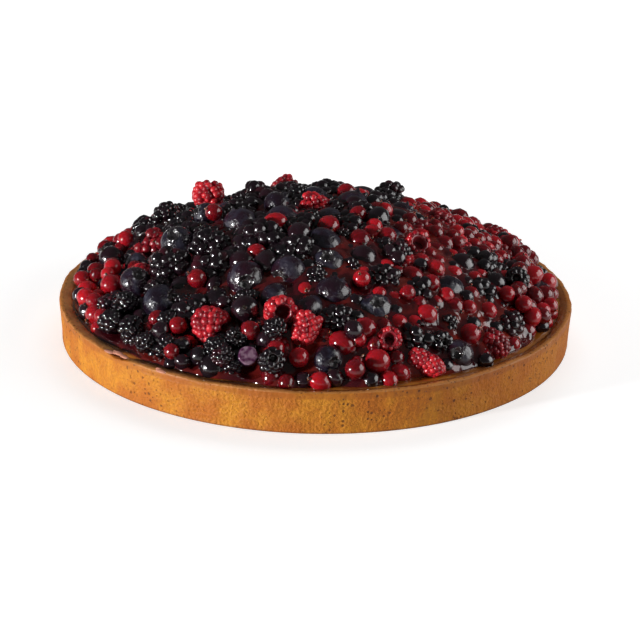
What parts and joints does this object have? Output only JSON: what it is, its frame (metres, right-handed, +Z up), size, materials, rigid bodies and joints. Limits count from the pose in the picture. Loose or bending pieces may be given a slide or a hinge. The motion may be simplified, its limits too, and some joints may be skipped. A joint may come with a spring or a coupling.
{
  "type": "berry tart",
  "caption": "Round shortcrust tart filled with custard and heaped with glazed raspberries, brambles, blueberries, blackcurrants and redcurrants.",
  "frame": {"origin": "centre of the pastry case's flat underside", "axes": "+Z up through the heap of fruit, -Y towards the front, +X to the right as seen from the front"},
  "size_m": [0.2692, 0.2694, 0.0698],
  "materials": {
    "pastry": "matte",
    "custard": "gloss",
    "heap": "gloss",
    "blueberry": "satin",
    "blackcurrant": "gloss",
    "raspberry": "gloss",
    "bramble": "gloss",
    "redcurrant": "gloss"
  },
  "bodies": {
    "root": {"pastry_case": "pastry", "custard_filling": "custard", "berry_heap": "heap", "blueberry_01": "blueberry", "blueberry_02": "blueberry", "blueberry_03": "blueberry", "blueberry_04": "blueberry", "blueberry_05": "blueberry", "blueberry_06": "blueberry", "blueberry_07": "blueberry", "blueberry_08": "blueberry", "blueberry_09": "blueberry", "blueberry_10": "blueberry", "blueberry_11": "blueberry", "blueberry_12": "blueberry", "blueberry_13": "blueberry", "blueberry_14": "blueberry", "blackcurrant_01": "blackcurrant", "blackcurrant_02": "blackcurrant", "blackcurrant_03": "blackcurrant", "blackcurrant_04": "blackcurrant", "blackcurrant_05": "blackcurrant", "raspberry_01": "raspberry", "raspberry_02": "raspberry", "raspberry_03": "raspberry", "raspberry_04": "raspberry", "raspberry_05": "raspberry", "raspberry_06": "raspberry", "raspberry_07": "raspberry", "raspberry_08": "raspberry", "raspberry_09": "raspberry", "raspberry_10": "raspberry", "raspberry_11": "raspberry", "bramble_01": "bramble", "bramble_02": "bramble", "bramble_03": "bramble", "bramble_04": "bramble", "bramble_05": "bramble", "bramble_06": "bramble", "bramble_07": "bramble", "bramble_08": "bramble", "bramble_09": "bramble", "redcurrant_01": "redcurrant", "redcurrant_02": "redcurrant", "redcurrant_03": "redcurrant", "redcurrant_04": "redcurrant", "redcurrant_05": "redcurrant", "redcurrant_06": "redcurrant", "redcurrant_07": "redcurrant", "redcurrant_08": "redcurrant", "redcurrant_09": "redcurrant", "redcurrant_10": "redcurrant"}
  },
  "joints": []
}
